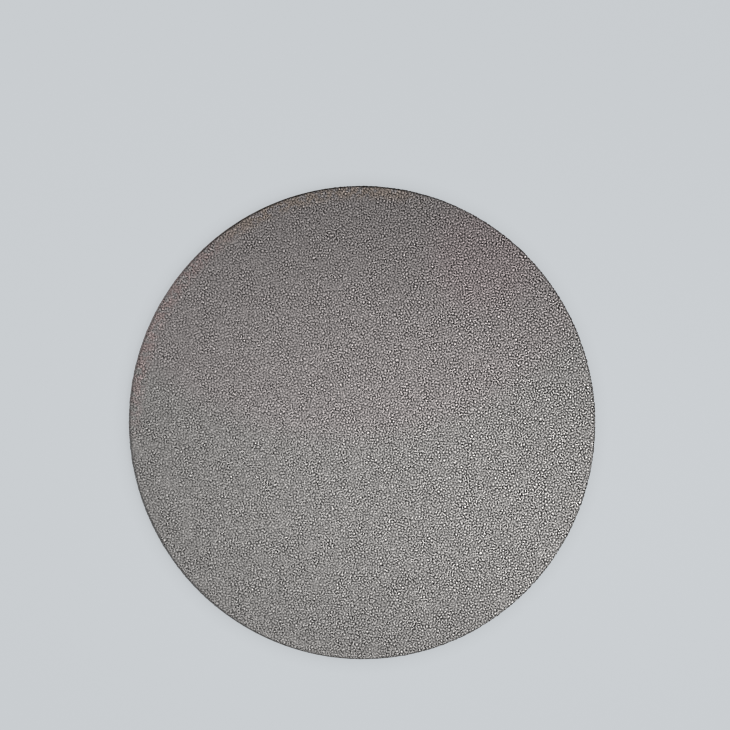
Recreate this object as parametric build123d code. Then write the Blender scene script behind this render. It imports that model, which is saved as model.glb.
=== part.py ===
from build123d import *
import os

# Round porous filter disc. Titanium powder is levelled in a round die, pressed, and sintered in vacuum
# until its grains weld together where they touch, so the disc is one solid all through. It has no frame,
# ring, seal or inner layer. It lies flat, with the origin at the middle of the underside and +Z up.

# Driving dimensions, in millimetres
disc_diameter = 100.0
disc_thickness = 2.0
# The arris at each face is worn round in the die and in handling, by about a third of a grain
upper_edge_round = 0.2
lower_edge_round = 0.2


def disc_section():
    """Half of the disc's section, from its axis out to the rim, with both arrises rounded."""
    disc_radius = disc_diameter / 2
    with BuildSketch(Plane.XZ) as section:
        with BuildLine():
            axis_line = Line((0, 0), (0, disc_thickness))
            upper_face = Line(axis_line @ 1, (disc_radius - upper_edge_round, disc_thickness))
            upper_arris = TangentArc(
                upper_face @ 1, (disc_radius, disc_thickness - upper_edge_round), tangent=(1, 0)
            )
            rim_wall = Line(upper_arris @ 1, (disc_radius, lower_edge_round))
            lower_arris = TangentArc(rim_wall @ 1, (disc_radius - lower_edge_round, 0), tangent=(0, -1))
            Line(lower_arris @ 1, axis_line @ 0)
        make_face()
    return section.sketch


def porous_disc():
    """The whole filter: the section turned once round the disc's axis."""
    return revolve(disc_section(), axis=Axis.Z, revolution_arc=360)


os.makedirs("parts", exist_ok=True)
export_step(porous_disc(), "parts/porous_disc.step")
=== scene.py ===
import math

import bpy
import numpy as np
from mathutils import Matrix, Vector
from mathutils.geometry import delaunay_2d_cdt


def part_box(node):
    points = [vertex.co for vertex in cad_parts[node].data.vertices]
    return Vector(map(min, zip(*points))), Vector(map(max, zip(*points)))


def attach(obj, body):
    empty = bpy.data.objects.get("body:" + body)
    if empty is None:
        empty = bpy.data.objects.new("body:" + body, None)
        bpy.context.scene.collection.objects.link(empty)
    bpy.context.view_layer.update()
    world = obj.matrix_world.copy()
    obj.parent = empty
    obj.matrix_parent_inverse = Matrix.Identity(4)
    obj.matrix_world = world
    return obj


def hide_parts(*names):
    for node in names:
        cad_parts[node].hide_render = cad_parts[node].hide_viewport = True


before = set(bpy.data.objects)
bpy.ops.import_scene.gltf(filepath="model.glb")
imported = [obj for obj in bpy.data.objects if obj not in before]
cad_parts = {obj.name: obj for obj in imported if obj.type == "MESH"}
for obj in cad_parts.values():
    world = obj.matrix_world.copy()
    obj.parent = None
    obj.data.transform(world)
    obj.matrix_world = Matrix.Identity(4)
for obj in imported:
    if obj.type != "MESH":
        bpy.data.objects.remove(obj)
scene = bpy.context.scene
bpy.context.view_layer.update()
disc_low, disc_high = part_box("porous_disc")

# The camera. The disc lies flat and is seen from nearly straight above by a long lens, which stands
# a little to the left, so that the disc's left wall shows as a thin line.
camera_distance = 0.85594
camera_tilt = math.radians(10.49)
camera_azimuth = math.radians(190.42)
camera_target = Vector((-0.00002, 0.01204, disc_high.z))
camera_lens = 200.0


def looking(place, aim):
    """The place and turn of a camera or a lamp that looks at a point, with +Y up in its picture."""
    back = (place - aim).normalized()
    right = Vector((0.0, 1.0, 0.0)).cross(back).normalized()
    turn = Matrix((right, back.cross(right), back)).transposed()
    return Matrix.Translation(place) @ turn.to_4x4()


camera_data = bpy.data.cameras.new("camera")
camera_data.lens = camera_lens
camera_data.sensor_width = 36.0
camera_data.clip_start = 0.01
camera_data.clip_end = 20.0
camera = bpy.data.objects.new("camera", camera_data)
scene.collection.objects.link(camera)
camera_back = Vector((
    math.sin(camera_tilt) * math.cos(camera_azimuth),
    math.sin(camera_tilt) * math.sin(camera_azimuth),
    math.cos(camera_tilt),
))
camera.matrix_world = looking(camera_target + camera_back * camera_distance, camera_target)
scene.camera = camera

# The floor and the air round it: a plain pale table top that runs out of sight, under plain soft light.
# A faint shadow is painted into its glow where the disc stands close over it, so that the disc is seen to
# lie on it.
floor_colour = (0.591, 0.617, 0.638)
floor_half_width = 6.0
floor_glow = 0.972
floor_reflects = 0.045
floor_roughness = 0.9
contact_reach = 0.0035
contact_depth = 0.20
contact_rays = 4
ambient_strength = 0.095

floor_mesh = bpy.data.meshes.new("floor")
floor_corners = [
    (-floor_half_width, -floor_half_width, 0.0),
    (floor_half_width, -floor_half_width, 0.0),
    (floor_half_width, floor_half_width, 0.0),
    (-floor_half_width, floor_half_width, 0.0),
]
floor_mesh.from_pydata(floor_corners, [], [(0, 1, 2, 3)])
floor = bpy.data.objects.new("floor", floor_mesh)
scene.collection.objects.link(floor)

floor_finish = bpy.data.materials.new("pale_table")
floor_finish.use_nodes = True
floor_shader = floor_finish.node_tree.nodes["Principled BSDF"]
floor_shader.inputs["Base Color"].default_value = (*[c * floor_reflects for c in floor_colour], 1.0)
floor_shader.inputs["Roughness"].default_value = floor_roughness
floor_shader.inputs["Specular IOR Level"].default_value = 0.0
floor_shader.inputs["Emission Color"].default_value = (*floor_colour, 1.0)
# The painted contact shadow: the floor's glow is dimmed where the disc closes off the air near it
contact = floor_finish.node_tree.nodes.new("ShaderNodeAmbientOcclusion")
contact.samples = contact_rays
contact.inputs["Distance"].default_value = contact_reach
contact_shade = floor_finish.node_tree.nodes.new("ShaderNodeMapRange")
contact_shade.inputs["To Min"].default_value = floor_glow * (1.0 - contact_depth)
contact_shade.inputs["To Max"].default_value = floor_glow
floor_finish.node_tree.links.new(contact.outputs["AO"], contact_shade.inputs["Value"])
floor_finish.node_tree.links.new(contact_shade.outputs["Result"], floor_shader.inputs["Emission Strength"])
floor_mesh.materials.append(floor_finish)

world = bpy.data.worlds.new("studio_air")
world.use_nodes = True
scene.world = world
air = world.node_tree
backdrop = air.nodes["Background"]
backdrop.inputs["Color"].default_value = (*floor_colour, 1.0)
backdrop.inputs["Strength"].default_value = 1.0
soft_fill = air.nodes.new("ShaderNodeBackground")
soft_fill.inputs["Color"].default_value = (1.0, 1.0, 1.0, 1.0)
soft_fill.inputs["Strength"].default_value = ambient_strength
seen_or_lighting = air.nodes.new("ShaderNodeMixShader")
ray_kind = air.nodes.new("ShaderNodeLightPath")
air.links.new(ray_kind.outputs["Is Camera Ray"], seen_or_lighting.inputs["Fac"])
air.links.new(soft_fill.outputs[0], seen_or_lighting.inputs[1])
air.links.new(backdrop.outputs[0], seen_or_lighting.inputs[2])
air.links.new(seen_or_lighting.outputs[0], air.nodes["World Output"].inputs["Surface"])
scene.view_settings.view_transform = "Standard"
# The grains are only a few pixels across: with few samples the denoiser takes some of their detail for
# noise and wipes it off, and a wide film filter runs them together
scene.cycles.use_denoising = False
scene.cycles.filter_width = 1.2


def softbox(name, place, aim, width, height, power, spread):
    """A studio light pointed at a place on the disc, with its beam kept to a cone of some degrees."""
    lamp = bpy.data.lights.new(name, "AREA")
    lamp.shape = "RECTANGLE"
    lamp.size = width
    lamp.size_y = height
    lamp.energy = power
    lamp.spread = math.radians(spread)
    holder = bpy.data.objects.new(name, lamp)
    holder.matrix_world = looking(Vector(place), Vector(aim))
    holder.visible_camera = False
    scene.collection.objects.link(holder)


# The key light stands at the lower right, so the face is lighter on that side, and a weak light opposite
# keeps the face from going dark when it is seen from the front
softbox(
    "key_light",
    place=(0.14, -0.10, 0.36),
    aim=(0.029, -0.012, 0.0),
    width=0.20,
    height=0.07,
    power=0.0695,
    spread=30.5,
)
softbox(
    "back_light",
    place=(-0.26, 0.26, 0.17),
    aim=(0.0, 0.0, 0.0),
    width=0.30,
    height=0.12,
    power=0.28,
    spread=170.0,
)

# The porous disc. Titanium powder is levelled and pressed in a round die, and sintered until its grains
# weld where they touch. Each grain is a rounded lump that reaches the face or falls just short of it, and
# between any three of them a pore goes down into the dark.
disc_radius = (disc_high.x - disc_low.x) / 2
disc_middle = (disc_high.z + disc_low.z) / 2
half_thickness = (disc_high.z - disc_low.z) / 2
arris_radius = 0.0002
plan_sides = 256
grain_spacing = 0.00041
weld_reach = 0.00049
grains_thrown_per_m2 = 60.0e6
# Shares of the grain spacing: between the grains along the seam, and from them in to the nearest others
seam_stretch = 1.25
seam_clearance = 0.7
merge_reach_mm = 1e-6
pore_depth = 0.00022
pore_spread = 0.00010
crown_spread = 0.00006
rarity = 1.6
patch_size = 0.004
patch_contrast = 1.5
patch_detail = 3.0
patch_roughness = 0.6
relief_lean = 0.24
hollow_reach = 0.00033
level_share = 0.5
seam_waver = 0.00012
seam_throws_per_radian = 1000.0
# The map for baking: each half's skin fills it, and the closed back takes a small place in one corner
map_margin = 1.01
core_map_place = -0.43
core_map_share = 0.12


def socket_of(tree, name, kind, default=None):
    """A named input on a node tree's modifier."""
    socket = tree.interface.new_socket(name, in_out="INPUT", socket_type=kind)
    if default is not None:
        socket.default_value = default
    return socket


def give(tree, node_type, *values, **settings):
    """Adds a node, sets it up, and feeds its inputs in order with links or plain values."""
    node = tree.nodes.new(node_type)
    for key, value in settings.items():
        setattr(node, key, value)
    for socket, value in zip([s for s in node.inputs if s.enabled], values):
        if value is None:
            continue
        if isinstance(value, bpy.types.NodeSocket):
            tree.links.new(value, socket)
        else:
            socket.default_value = value
    return node


def scatter_tree():
    """Throws grain centres at random over a flat round plan, none nearer than the spacing to another."""
    tree = bpy.data.node_groups.new("grain_scatter", "GeometryNodeTree")
    tree.interface.new_socket("Geometry", in_out="OUTPUT", socket_type="NodeSocketGeometry")
    socket_of(tree, "Geometry", "NodeSocketGeometry")
    socket_of(tree, "Plan Radius", "NodeSocketFloat", 0.05)
    socket_of(tree, "Grain Spacing", "NodeSocketFloat", 0.0005)
    socket_of(tree, "Thrown Density", "NodeSocketFloat", 1.0e7)
    socket_of(tree, "Seed", "NodeSocketInt", 1)
    entry = tree.nodes.new("NodeGroupInput")
    exit_node = tree.nodes.new("NodeGroupOutput")
    plan = give(tree, "GeometryNodeMeshCircle", plan_sides, entry.outputs["Plan Radius"], fill_type="NGON")
    thrown = give(
        tree,
        "GeometryNodeDistributePointsOnFaces",
        plan.outputs["Mesh"],
        None,
        entry.outputs["Grain Spacing"],
        entry.outputs["Thrown Density"],
        None,
        entry.outputs["Seed"],
        distribute_method="POISSON",
    )
    centres = give(tree, "GeometryNodePointsToVertices", thrown.outputs["Points"])
    tree.links.new(centres.outputs["Mesh"], exit_node.inputs["Geometry"])
    return tree


def run_tree(mesh, tree, **values):
    """The plain mesh that a node tree makes from a mesh, with its named inputs set."""
    carrier = bpy.data.objects.new("carrier", mesh)
    scene.collection.objects.link(carrier)
    modifier = carrier.modifiers.new("nodes", "NODES")
    modifier.node_group = tree
    for item in tree.interface.items_tree:
        name = item.name.lower().replace(" ", "_")
        if item.in_out == "INPUT" and name in values:
            modifier[item.identifier] = values[name]
    bpy.context.view_layer.update()
    evaluated = carrier.evaluated_get(bpy.context.evaluated_depsgraph_get())
    made = bpy.data.meshes.new_from_object(evaluated)
    bpy.data.objects.remove(carrier)
    return made


section_length = disc_radius + half_thickness - arris_radius * (2 - math.pi / 2)
seam_steps = round(2 * math.pi * section_length / (grain_spacing * seam_stretch))
scatter = scatter_tree()


def turned_left(places, a, b, c):
    """Twice the area of each flat triangle, above zero where its corners run anticlockwise."""
    ab = places[b] - places[a]
    ac = places[c] - places[a]
    return ab[:, 0] * ac[:, 1] - ab[:, 1] * ac[:, 0]


def grain_plan(seed):
    """The flat layout of one half of the disc: crowns and pores, joined by facets, and a closed back."""
    thrown = run_tree(
        bpy.data.meshes.new("nothing"),
        scatter,
        plan_radius=section_length - grain_spacing * seam_clearance,
        grain_spacing=grain_spacing,
        thrown_density=grains_thrown_per_m2,
        seed=seed,
    )
    centres = np.zeros(len(thrown.vertices) * 3)
    thrown.vertices.foreach_get("co", centres)
    bpy.data.meshes.remove(thrown)
    centres = centres.reshape(-1, 3)[:, :2]
    turns = np.arange(seam_steps) * (2 * math.pi / seam_steps)
    seam = section_length * np.stack([np.cos(turns), np.sin(turns)], 1)
    crowns = np.concatenate([centres, seam])
    laid = delaunay_2d_cdt([Vector(p) for p in crowns * 1000], [], [], 0, merge_reach_mm)
    corners = np.array([v[:] for v in laid[0]]) / 1000
    triangles = np.array(laid[2])
    places = np.concatenate([corners, corners[triangles].mean(1), [[0.0, 0.0]]])
    core = len(places) - 1

    # Each side of a triangle, with the pore in the triangle's middle, and its twin on the next triangle
    start = triangles.ravel()
    end = np.roll(triangles, -1, axis=1).ravel()
    pore = np.repeat(np.arange(len(triangles)), 3) + len(corners)
    side = np.minimum(start, end) * len(corners) + np.maximum(start, end)
    order = np.argsort(side, kind="stable")
    paired = side[order][1:] == side[order][:-1]
    left = order[:-1][paired]
    right = order[1:][paired]
    lone = np.setdiff1d(order, np.concatenate([left, right]))
    a, b, here, there = start[left], end[left], pore[left], pore[right]

    # Near grains are welded by a ridge from crown to crown, and others part at a groove from pore to pore
    apart = np.hypot(*(corners[a] - corners[b]).T) > weld_reach
    apart &= turned_left(places, a, there, here) > 0
    apart &= turned_left(places, b, here, there) > 0
    weld = ~apart
    facets = np.concatenate([
        np.stack([a, there, here], 1)[apart],
        np.stack([b, here, there], 1)[apart],
        np.stack([a, b, here], 1)[weld],
        np.stack([b, a, there], 1)[weld],
        np.stack([start[lone], end[lone], pore[lone]], 1),
        np.stack([end[lone], start[lone], np.full(len(lone), core)], 1),
    ])
    plan = bpy.data.meshes.new("grain_plan")
    plan.from_pydata(np.pad(places, ((0, 0), (0, 1))).tolist(), [], facets.tolist())
    number = np.arange(len(places))
    marks = {
        "pore": (number >= len(corners)) & (number < core),
        "seam": np.isin(number, start[lone]),
        "core": number == core,
    }
    for name, mark in marks.items():
        plan.attributes.new(name, "BOOLEAN", "POINT").data.foreach_set("value", mark)
    spread = places[facets] / (2 * section_length * map_margin)
    spread[-len(lone):] = spread[-len(lone):] * core_map_share + core_map_place
    plan.uv_layers.new(name="OFBake").uv.foreach_set("vector", (spread + 0.5).ravel())
    return plan


def skin_tree():
    """Wraps the flat plan over the disc's section, and gives grains their height and pores their depth."""
    tree = bpy.data.node_groups.new("grain_skin", "GeometryNodeTree")
    tree.interface.new_socket("Geometry", in_out="OUTPUT", socket_type="NodeSocketGeometry")
    socket_of(tree, "Geometry", "NodeSocketGeometry")
    socket_of(tree, "Disc Radius", "NodeSocketFloat", 0.05)
    socket_of(tree, "Half Thickness", "NodeSocketFloat", 0.001)
    socket_of(tree, "Arris Radius", "NodeSocketFloat", 0.0002)
    socket_of(tree, "Middle Height", "NodeSocketFloat", 0.001)
    socket_of(tree, "Side", "NodeSocketFloat", 1.0)
    socket_of(tree, "Pore Depth", "NodeSocketFloat", 0.0005)
    socket_of(tree, "Pore Spread", "NodeSocketFloat", 0.0002)
    socket_of(tree, "Crown Spread", "NodeSocketFloat", 0.0001)
    socket_of(tree, "Rarity", "NodeSocketFloat", 2.0)
    socket_of(tree, "Patch Size", "NodeSocketFloat", 0.002)
    socket_of(tree, "Patch Contrast", "NodeSocketFloat", 2.0)
    socket_of(tree, "Relief Lean", "NodeSocketFloat", 0.0)
    socket_of(tree, "Hollow Reach", "NodeSocketFloat", 0.0002)
    socket_of(tree, "Seam Waver", "NodeSocketFloat", 0.0001)
    socket_of(tree, "Seed", "NodeSocketInt", 1)
    socket_of(tree, "Finish", "NodeSocketMaterial")
    entry = tree.nodes.new("NodeGroupInput")
    given = entry.outputs

    def maths(operation, *values):
        return give(tree, "ShaderNodeMath", *values, operation=operation).outputs[0]

    def vector(operation, *values):
        return give(tree, "ShaderNodeVectorMath", *values, operation=operation)

    def marked(name):
        return give(tree, "GeometryNodeInputNamedAttribute", name, data_type="BOOLEAN").outputs["Attribute"]

    def either(choice, no, yes, kind="FLOAT"):
        return give(tree, "GeometryNodeSwitch", choice, no, yes, input_type=kind).outputs[0]

    def neighbours_mean(value):
        return give(tree, "GeometryNodeBlurAttribute", value, 1, 1.0, data_type="FLOAT").outputs[0]

    def random_between(low, high, salt):
        seed = maths("ADD", given["Seed"], salt)
        return give(tree, "FunctionNodeRandomValue", low, high, None, seed, data_type="FLOAT").outputs[1]

    def stored(geometry, name, value):
        store = "GeometryNodeStoreNamedAttribute"
        return give(tree, store, geometry, None, name, value, data_type="FLOAT", domain="POINT").outputs[0]

    place = give(tree, "GeometryNodeInputPosition").outputs[0]
    parts = give(tree, "ShaderNodeSeparateXYZ", place).outputs
    along = vector("LENGTH", place).outputs["Value"]
    outward = vector("NORMALIZE", place).outputs["Vector"]
    face_reach = maths("SUBTRACT", given["Disc Radius"], given["Arris Radius"])
    past_face = maths("MAXIMUM", maths("SUBTRACT", along, face_reach), 0.0)
    turn = maths("MINIMUM", maths("DIVIDE", past_face, given["Arris Radius"]), math.pi / 2)
    arc_length = maths("MULTIPLY", given["Arris Radius"], math.pi / 2)
    down_wall = maths("MAXIMUM", maths("SUBTRACT", past_face, arc_length), 0.0)
    sine = maths("SINE", turn)
    cosine = maths("COSINE", turn)
    radius = maths("MULTIPLY_ADD", given["Arris Radius"], sine, maths("MINIMUM", along, face_reach))
    fall = maths("MULTIPLY_ADD", given["Arris Radius"], maths("SUBTRACT", 1.0, cosine), down_wall)
    height = maths("SUBTRACT", given["Half Thickness"], fall)

    # Most pores are shallow and a few deep, and most crowns fall short of the face that a few reach
    shallowest = maths("SUBTRACT", given["Pore Depth"], given["Pore Spread"])
    few_deep = maths("POWER", random_between(0.0, 1.0, 0), given["Rarity"])
    pore_sink = maths("MULTIPLY_ADD", given["Pore Spread"], few_deep, shallowest)
    few_high = maths("POWER", random_between(0.0, 1.0, 1), maths("DIVIDE", 1.0, given["Rarity"]))
    crown_sink = maths("MULTIPLY", given["Crown Spread"], few_high)
    angle = maths("ARCTAN2", parts[1], parts[0])
    seam_throw = give(
        tree,
        "ShaderNodeTexWhiteNoise",
        None,
        maths("ROUND", maths("MULTIPLY", angle, seam_throws_per_radian)),
        noise_dimensions="1D",
    ).outputs[0]
    seam_sink = maths("MULTIPLY", seam_throw, given["Crown Spread"])
    thrown_sink = either(marked("pore"), either(marked("seam"), crown_sink, seam_sink), pore_sink)

    # Each point's own sink is set against that of its neighbours, and stands out more in some patches and
    # towards +X; the finish's painted shade in the pores follows it
    evened = neighbours_mean(thrown_sink)
    patches = give(
        tree,
        "ShaderNodeTexNoise",
        place,
        maths("DIVIDE", 1.0, given["Patch Size"]),
        patch_detail,
        patch_roughness,
        noise_dimensions="3D",
    ).outputs[0]
    lean = maths("MULTIPLY", maths("DIVIDE", parts[0], given["Disc Radius"]), given["Relief Lean"])
    patchy = maths("MULTIPLY", maths("SUBTRACT", patches, 0.5), given["Patch Contrast"])
    strength = maths("ADD", maths("ADD", lean, patchy), 1.0)
    own_sink = maths("MULTIPLY", maths("SUBTRACT", thrown_sink, evened), strength)
    lively_sink = maths("MAXIMUM", maths("ADD", evened, own_sink), 0.0)
    sink = either(marked("seam"), lively_sink, seam_sink)
    centred = maths("SUBTRACT", seam_throw, 0.5)
    waver = either(marked("seam"), 0.0, maths("MULTIPLY", centred, given["Seam Waver"]))

    sunk_radius = maths("SUBTRACT", radius, maths("MULTIPLY", sink, sine))
    sunk_height = maths("SUBTRACT", height, maths("MULTIPLY", sink, cosine))
    level = maths("MULTIPLY_ADD", sunk_height, given["Side"], maths("ADD", given["Middle Height"], waver))
    flat_place = vector("SCALE", outward, sunk_radius).outputs["Vector"]
    upright = give(tree, "ShaderNodeCombineXYZ", 0.0, 0.0, level).outputs[0]
    wrapped_place = vector("ADD", flat_place, upright).outputs["Vector"]
    core_place = give(tree, "ShaderNodeCombineXYZ", 0.0, 0.0, given["Middle Height"]).outputs[0]
    wrapped_place = either(marked("core"), wrapped_place, core_place, "VECTOR")

    # How far a point sinks below its neighbours, which the finish paints as shade in the pores
    hollow = maths("SUBTRACT", own_sink, neighbours_mean(own_sink))
    hollow = maths("DIVIDE", hollow, given["Hollow Reach"])
    skin = stored(given["Geometry"], "hollow_share", maths("ADD", hollow, level_share))
    skin = stored(skin, "grain_shade", random_between(0.0, 1.0, 2))
    skin = stored(skin, "past_face", maths("SUBTRACT", along, face_reach))
    skin = give(tree, "GeometryNodeSetPosition", skin, None, wrapped_place).outputs[0]
    turned = give(tree, "GeometryNodeFlipFaces", skin, maths("LESS_THAN", given["Side"], 0.0)).outputs[0]

    ends = give(tree, "GeometryNodeInputMeshEdgeVertices").outputs

    def both_ends(name):
        found = [
            give(
                tree,
                "GeometryNodeSampleIndex",
                turned,
                marked(name),
                end,
                data_type="BOOLEAN",
                domain="POINT",
            ).outputs[0]
            for end in ends[:2]
        ]
        return give(tree, "FunctionNodeBooleanMath", *found, operation="AND").outputs[0]

    crease = give(tree, "FunctionNodeBooleanMath", both_ends("pore"), both_ends("seam"), operation="OR")
    rounded = give(tree, "GeometryNodeSetShadeSmooth", turned, True, True, domain="FACE").outputs[0]
    creased = give(
        tree, "GeometryNodeSetShadeSmooth", rounded, crease.outputs[0], False, domain="EDGE"
    ).outputs[0]
    realized = give(tree, "GeometryNodeRealizeInstances", creased).outputs[0]
    finished = give(tree, "GeometryNodeSetMaterial", realized, None, given["Finish"]).outputs[0]
    exit_node = tree.nodes.new("NodeGroupOutput")
    tree.links.new(finished, exit_node.inputs["Geometry"])
    return tree


# The disc's finish. Sintering in vacuum leaves bare titanium: matt and warm grey, brighter on the pressed
# crowns, with painted shade down in the pores. A trace of air in the furnace warmed one side of the face,
# blushed and gilded it in blotches near the rim there. Painted shade darkens the arris, and a stretch of
# the upper arris most.
titanium_roughness = (0.58, 0.76)
# From the highest crown to the deepest pore among its neighbours, the pores darkened as painted shade
titanium_tones_and_pore_shade = [
    (0.00, 1.00),
    (0.07, 0.80),
    (0.16, 0.57),
    (0.26, 0.46),
    (0.38, 0.36),
    (0.54, 0.26),
    (0.645, 0.16),
    (0.735, 0.065),
    (0.80, 0.010),
    (0.85, 0.001),
]
grain_shade_range = (0.96, 1.04)
plain_tint = (1.027, 0.999, 0.973)
warm_tint = (1.058, 0.989, 0.976)
warm_place = (-0.0045, 0.063, 0.002)
warm_reach = (0.070, 0.062)
bloom_tint = (1.105, 0.984, 0.985)
bloom_place = (0.0255, 0.0355, 0.002)
bloom_reach = (0.016, 0.006)
blushed_tint = (1.155, 0.96, 0.935)
blushed_sector = (150.0, 0.78, 0.99)
gilded_tint = (1.13, 0.975, 0.87)
gilded_sector = (103.0, 0.86, 0.96)
tinted_band = (-0.0034, -0.0012)
tinted_blotch = 0.0012
blotch_detail = 2.0
blotch_roughness = 0.5
gilded_shift = 0.3
blotch_edges = (0.38, 0.54)
# How far past the flat face, along the skin, painted shade on the arris grows dark and light again
arris_rise = (-0.00025, 0.00003)
arris_fall = (0.00045, 0.00025)
# The arris's painted shade is faint towards -X and deepest towards +X
arris_shade_tones = (0.98, 0.48)
# Painted shade on a stretch of the upper arris, which faces away from the key light
shaded_arris_tone = 0.14
shaded_arris_sector = (106.0, 0.75, 0.96)
shaded_arris_height = (0.0016, 0.0019)
speckle_size = 0.00010
speckle_depth = 0.000006
speckle_detail = 2.0


def titanium_finish():
    """Sintered titanium, with its tone set by how deep a point lies among its neighbours, as painted shade
    in the pores.
    """
    finish = bpy.data.materials.new("sintered_titanium")
    finish.use_nodes = True
    tree = finish.node_tree
    shader = tree.nodes["Principled BSDF"]
    shader.inputs["Metallic"].default_value = 1.0

    def attribute(name):
        return give(tree, "ShaderNodeAttribute", attribute_name=name).outputs["Fac"]

    def ranged(value, start, end, low=0.0, high=1.0, smooth=False):
        kind = "SMOOTHSTEP" if smooth else "LINEAR"
        node = "ShaderNodeMapRange"
        return give(tree, node, value, start, end, low, high, interpolation_type=kind).outputs["Result"]

    def maths(operation, *values):
        return give(tree, "ShaderNodeMath", *values, operation=operation).outputs[0]

    def mixed(share, first, second, blend="MIX"):
        sockets = bpy.types.NodeSocket
        ends = [value if isinstance(value, sockets) else (*value, 1.0) for value in (first, second)]
        mix = give(tree, "ShaderNodeMix", share, *ends, data_type="RGBA", blend_type=blend)
        return mix.outputs["Result"]

    def within(centre, far, near):
        away = give(tree, "ShaderNodeVectorMath", place, centre, operation="DISTANCE").outputs["Value"]
        return ranged(away, far, near, smooth=True)

    def sector(azimuth, start, end):
        aim = Vector((math.cos(math.radians(azimuth)), math.sin(math.radians(azimuth)), 0.0))
        facing = give(tree, "ShaderNodeVectorMath", outward, aim, operation="DOT_PRODUCT").outputs["Value"]
        return ranged(facing, start, end, smooth=True)

    def blotches(shift):
        moved = give(tree, "ShaderNodeVectorMath", place, (shift, 0.0, 0.0), operation="ADD").outputs[0]
        blotch_scale = (1 / tinted_blotch, blotch_detail, blotch_roughness)
        noise = give(tree, "ShaderNodeTexNoise", moved, *blotch_scale, noise_dimensions="3D")
        return ranged(noise.outputs["Fac"], *blotch_edges, smooth=True)

    def dimmed(tone, share):
        return maths("MULTIPLY_ADD", maths("SUBTRACT", tone, 1.0), share, 1.0)

    place = give(tree, "ShaderNodeTexCoord").outputs["Object"]
    outward = give(tree, "ShaderNodeVectorMath", place, operation="NORMALIZE").outputs["Vector"]
    past_face = attribute("past_face")
    shade = attribute("grain_shade")

    # How light a point is: by its own grain, with painted shade by its depth in the pores, on the arris and
    # on a stretch of the upper arris
    ramp = give(tree, "ShaderNodeValToRGB", attribute("hollow_share"))
    steps = ramp.color_ramp.elements
    while len(steps) < len(titanium_tones_and_pore_shade):
        steps.new(1.0)
    for step, (reach, tone) in zip(steps, titanium_tones_and_pore_shade):
        step.position = reach
        step.color = (tone, tone, tone, 1.0)
    left_to_right, _, above_table = give(tree, "ShaderNodeSeparateXYZ", place).outputs
    rise = ranged(past_face, *arris_rise)
    arris_shade_share = maths("MULTIPLY", rise, ranged(past_face, *arris_fall))
    shaded_arris_share = maths("MULTIPLY", rise, sector(*shaded_arris_sector))
    shaded_arris_share = maths("MULTIPLY", shaded_arris_share, ranged(above_table, *shaded_arris_height))
    arris = dimmed(ranged(left_to_right, -disc_radius, disc_radius, *arris_shade_tones), arris_shade_share)
    edge = maths("MULTIPLY", arris, dimmed(shaded_arris_tone, shaded_arris_share))
    lightness = maths("MULTIPLY", ranged(shade, 0.0, 1.0, *grain_shade_range), edge)
    tone = maths("MULTIPLY", ramp.outputs["Color"], lightness)

    # What colour it is: warmer on one side, with a faint bloom, and blushed and gilded in blotches
    tint = mixed(within(warm_place, *warm_reach), plain_tint, warm_tint)
    tint = mixed(within(bloom_place, *bloom_reach), tint, bloom_tint)
    band = ranged(past_face, *tinted_band, smooth=True)
    blushed = maths("MULTIPLY", maths("MULTIPLY", band, sector(*blushed_sector)), blotches(0.0))
    gilded = maths("MULTIPLY", maths("MULTIPLY", band, sector(*gilded_sector)), blotches(gilded_shift))
    tint = mixed(blushed, tint, blushed_tint)
    tint = mixed(gilded, tint, gilded_tint)
    tree.links.new(mixed(1.0, tint, tone, "MULTIPLY"), shader.inputs["Base Color"])

    tree.links.new(ranged(shade, 0.0, 1.0, *titanium_roughness), shader.inputs["Roughness"])
    speckle_scale = (1 / speckle_size, speckle_detail)
    speckle = give(tree, "ShaderNodeTexNoise", place, *speckle_scale, noise_dimensions="3D")
    bump = tree.nodes.new("ShaderNodeBump")
    bump.inputs["Strength"].default_value = 1.0
    bump.inputs["Distance"].default_value = speckle_depth
    tree.links.new(speckle.outputs["Fac"], bump.inputs["Height"])
    tree.links.new(bump.outputs["Normal"], shader.inputs["Normal"])
    return finish


finish = titanium_finish()
skin = skin_tree()


def disc_half(name, side, seed):
    """One half of the disc's thickness, with its face, its arris and its share of the rim."""
    mesh = run_tree(
        grain_plan(seed),
        skin,
        disc_radius=disc_radius,
        half_thickness=half_thickness,
        arris_radius=arris_radius,
        middle_height=disc_middle,
        side=side,
        pore_depth=pore_depth,
        pore_spread=pore_spread,
        crown_spread=crown_spread,
        rarity=rarity,
        patch_size=patch_size,
        patch_contrast=patch_contrast,
        relief_lean=relief_lean,
        hollow_reach=hollow_reach,
        seam_waver=seam_waver,
        seed=seed,
        finish=finish,
    )
    half = bpy.data.objects.new(name, mesh)
    scene.collection.objects.link(half)
    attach(half, "root")
    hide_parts("porous_disc")


disc_half("upper_half", side=1.0, seed=11)
disc_half("lower_half", side=-1.0, seed=23)
